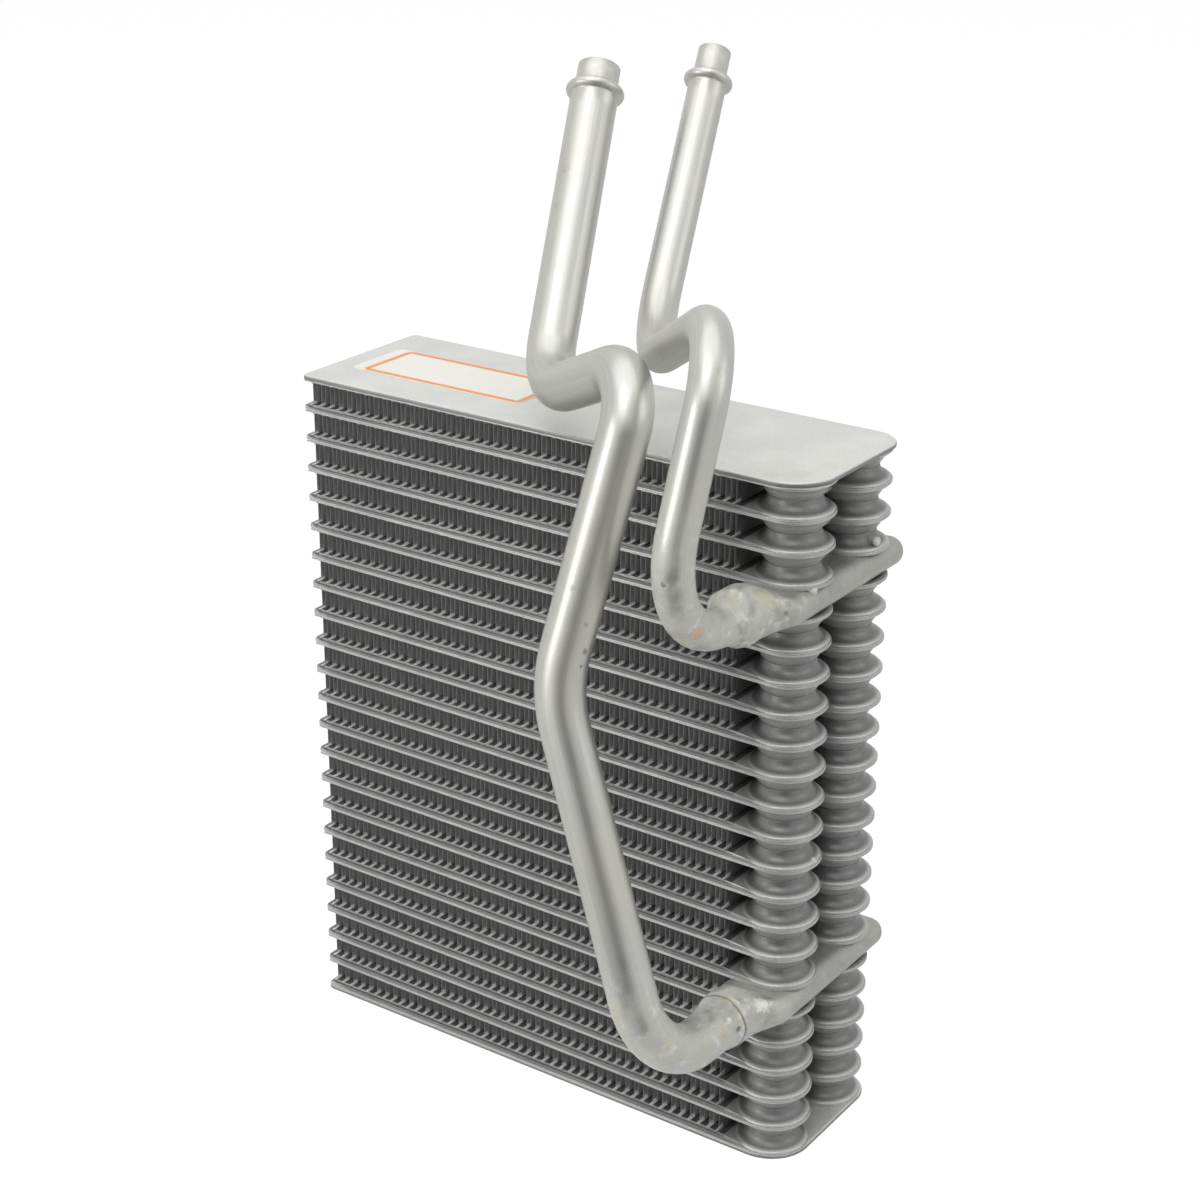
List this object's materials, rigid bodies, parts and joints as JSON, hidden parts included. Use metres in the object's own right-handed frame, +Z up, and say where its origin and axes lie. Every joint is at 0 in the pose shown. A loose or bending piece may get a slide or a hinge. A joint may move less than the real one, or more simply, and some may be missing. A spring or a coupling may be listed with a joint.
{
  "type": "evaporator core",
  "caption": "Brazed laminated evaporator core with folded fins between stamped tubes, drawn-cup tanks at one end, two cross manifolds and two bent refrigerant pipes with beaded ends.",
  "frame": {"origin": "middle of the underside of the bottom end plate", "axes": "+X from the turn end to the tank end, +Y from the front face, where the pipes leave, to the back face, +Z up through the stack of tubes"},
  "size_m": [0.2016, 0.1698, 0.3522],
  "materials": {
    "core_sheet": "matt brazed sheet",
    "fin_strip": "matt coated strip",
    "end_plate": "satin sheet",
    "pipe": "drawn tube, bright with a faint braze tint",
    "paper": "uncoated paper label"
  },
  "bodies": {
    "root": {"top_end_plate": "end_plate", "bottom_end_plate": "end_plate", "top_cup_plate": "core_sheet", "bottom_cup_plate": "core_sheet", "tube_01": "core_sheet", "tube_02": "core_sheet", "tube_03": "core_sheet", "tube_04": "core_sheet", "tube_05": "core_sheet", "tube_06": "core_sheet", "tube_07": "core_sheet", "tube_08": "core_sheet", "tube_09": "core_sheet", "tube_10": "core_sheet", "tube_11": "core_sheet", "tube_12": "core_sheet", "tube_13": "core_sheet", "tube_14": "core_sheet", "tube_15": "core_sheet", "tube_16": "core_sheet", "tube_17": "core_sheet", "tube_18": "core_sheet", "tube_19": "core_sheet", "tube_20": "core_sheet", "tube_21": "core_sheet", "fin_01": "fin_strip", "fin_02": "fin_strip", "fin_03": "fin_strip", "fin_04": "fin_strip", "fin_05": "fin_strip", "fin_06": "fin_strip", "fin_07": "fin_strip", "fin_08": "fin_strip", "fin_09": "fin_strip", "fin_10": "fin_strip", "fin_11": "fin_strip", "fin_12": "fin_strip", "fin_13": "fin_strip", "fin_14": "fin_strip", "fin_15": "fin_strip", "fin_16": "fin_strip", "fin_17": "fin_strip", "fin_18": "fin_strip", "fin_19": "fin_strip", "fin_20": "fin_strip", "fin_21": "fin_strip", "fin_22": "fin_strip", "lower_manifold": "core_sheet", "upper_manifold": "core_sheet", "lower_sleeve": "core_sheet", "upper_sleeve": "core_sheet", "suction_pipe": "pipe", "liquid_pipe": "pipe", "label": "paper"}
  },
  "joints": []
}
